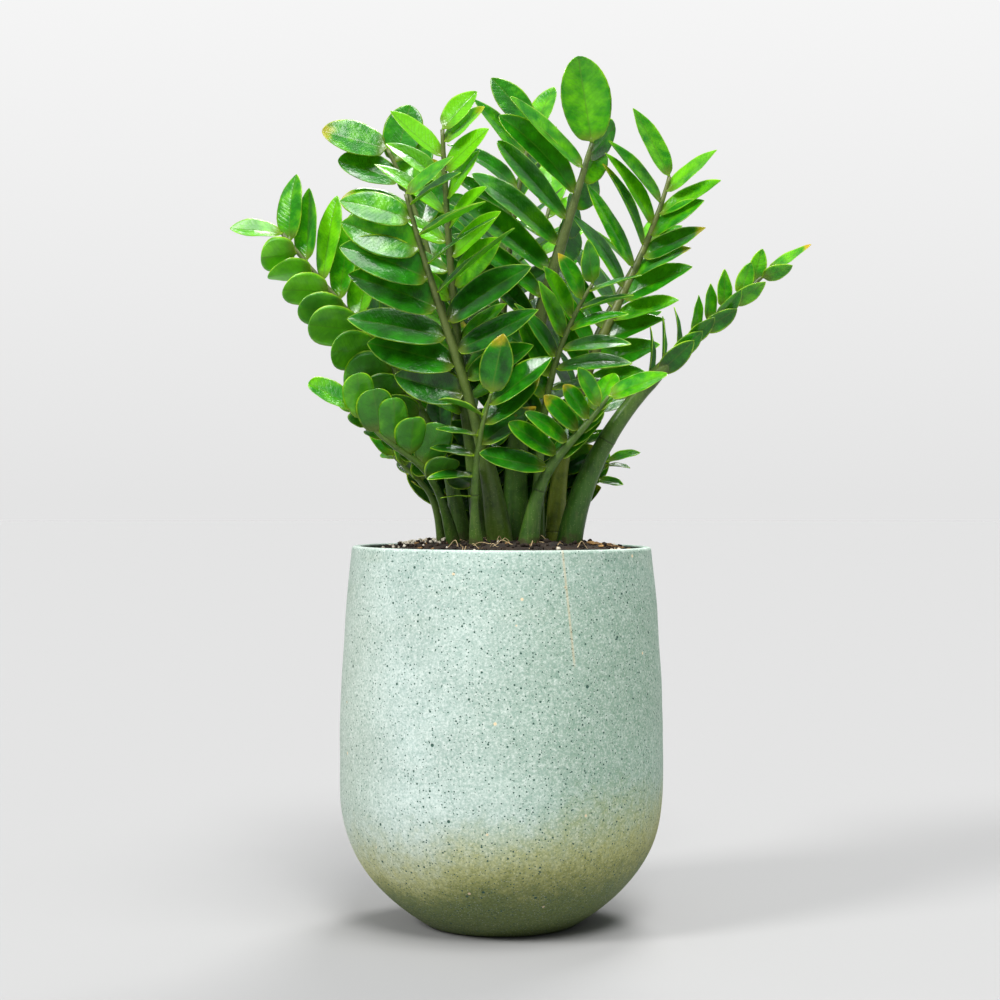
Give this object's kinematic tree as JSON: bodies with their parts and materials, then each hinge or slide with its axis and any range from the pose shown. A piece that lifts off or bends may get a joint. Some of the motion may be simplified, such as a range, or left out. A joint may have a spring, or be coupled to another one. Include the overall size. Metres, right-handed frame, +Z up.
{
  "type": "potted zz plant",
  "caption": "ZZ plant with 17 leafy fronds growing from soil in a round, egg-shaped terrazzo planter.",
  "frame": {"origin": "centre of the pot's flat underside, on the surface that it stands on", "axes": "+Z up along the pot's axis; -Y towards the viewer of the picture, the plant's front; +X to the viewer's right"},
  "size_m": [0.5749, 0.3833, 0.8605],
  "materials": {
    "pot": "matt terrazzo with fine light and dark specks",
    "soil": "dark, crumbly potting soil",
    "frond": "glossy, waxy green leaf"
  },
  "bodies": {
    "root": {"pot": "pot", "soil": "soil", "frond_front_tall": "frond", "frond_front_small": "frond", "frond_front_right": "frond", "frond_west_low": "frond", "frond_west_thin": "frond", "frond_top": "frond", "frond_tall_left": "frond", "frond_right": "frond", "frond_west": "frond", "frond_east": "frond", "frond_middle_right": "frond", "frond_back_left": "frond", "frond_back_middle": "frond", "frond_east_low": "frond", "frond_back_right": "frond", "frond_back": "frond", "frond_back_west": "frond"}
  },
  "joints": []
}
